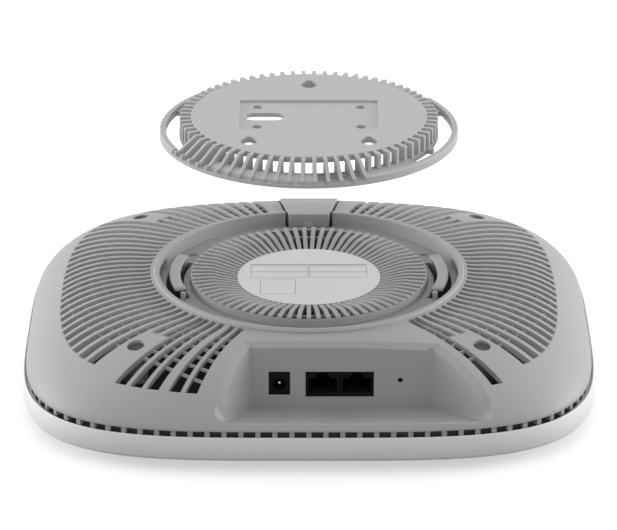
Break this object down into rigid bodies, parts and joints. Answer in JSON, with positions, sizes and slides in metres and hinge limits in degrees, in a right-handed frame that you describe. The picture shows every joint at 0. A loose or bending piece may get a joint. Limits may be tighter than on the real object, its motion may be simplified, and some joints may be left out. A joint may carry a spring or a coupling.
{
  "type": "ceiling access point",
  "caption": "Square domed ceiling access point lying on its cover, with a louvred back, a port bay, a latch tab and a round ribbed mounting plate lifted off above its well.",
  "frame": {"origin": "middle of the front cover's flat face, which the part lies on", "axes": "+Z from the front cover to the ceiling, -Y out of the port bay, +X to the right seen from the ports"},
  "size_m": [0.262, 0.241, 0.1241],
  "materials": {
    "white_plastic": "satin moulded",
    "grey_plastic": "fine matte texture",
    "black_plastic": "satin moulded",
    "label_film": "satin film",
    "clear_plastic": "clear",
    "board_laminate": "solder mask",
    "thermal_pad": "soft matte",
    "aluminium": "mill",
    "black_aluminium": "black anodised",
    "tinned_steel": "tinned"
  },
  "bodies": {
    "access_point": {"front_cover": "white_plastic", "vent_ring": "grey_plastic", "rear_casing": "grey_plastic", "mounting_well": "grey_plastic", "port_bay": "grey_plastic", "rating_label": "label_film", "ethernet_jack_1": "black_plastic", "ethernet_jack_2": "black_plastic", "dc_jack": "black_plastic", "reset_switch": "black_plastic", "dc_pin": "tinned_steel", "casing_screw_1": "tinned_steel", "casing_screw_2": "tinned_steel", "casing_screw_3": "tinned_steel", "casing_screw_4": "tinned_steel", "main_board": "board_laminate", "shield_can_1": "tinned_steel", "shield_can_2": "tinned_steel", "shield_can_3": "tinned_steel", "thermal_pad_1": "thermal_pad", "thermal_pad_2": "thermal_pad", "thermal_pad_3": "thermal_pad", "heat_spreader": "black_aluminium", "reflector_tray": "aluminium", "antenna_1": "tinned_steel", "antenna_2": "tinned_steel", "antenna_3": "tinned_steel", "antenna_4": "tinned_steel", "antenna_5": "tinned_steel", "antenna_6": "tinned_steel", "antenna_7": "tinned_steel", "antenna_8": "tinned_steel", "standoff_1": "tinned_steel", "standoff_2": "tinned_steel", "standoff_3": "tinned_steel", "standoff_4": "tinned_steel", "board_screw_1": "tinned_steel", "board_screw_2": "tinned_steel", "board_screw_3": "tinned_steel", "board_screw_4": "tinned_steel", "light_guide": "clear_plastic"},
    "mounting_plate": {"mounting_plate": "grey_plastic"},
    "release_tab": {"release_tab": "grey_plastic"},
    "reset_button": {"reset_button": "black_plastic"}
  },
  "joints": [
    {"name": "plate_lift", "type": "slide", "parent": "access_point", "child": "mounting_plate", "axis": [0, 0, 1], "range_m": [-0.0726, 0]},
    {"name": "release_tab_press", "type": "hinge", "parent": "access_point", "child": "release_tab", "pos_m": [0, 0.0923, 0.0437], "axis": [1, 0, 0], "range_deg": [0, 4], "stiffness_Nm_per_rad": 0.5},
    {"name": "reset_press", "type": "slide", "parent": "access_point", "child": "reset_button", "axis": [0, 1, 0], "range_m": [0, 0.0005], "stiffness_N_per_m": 400}
  ]
}
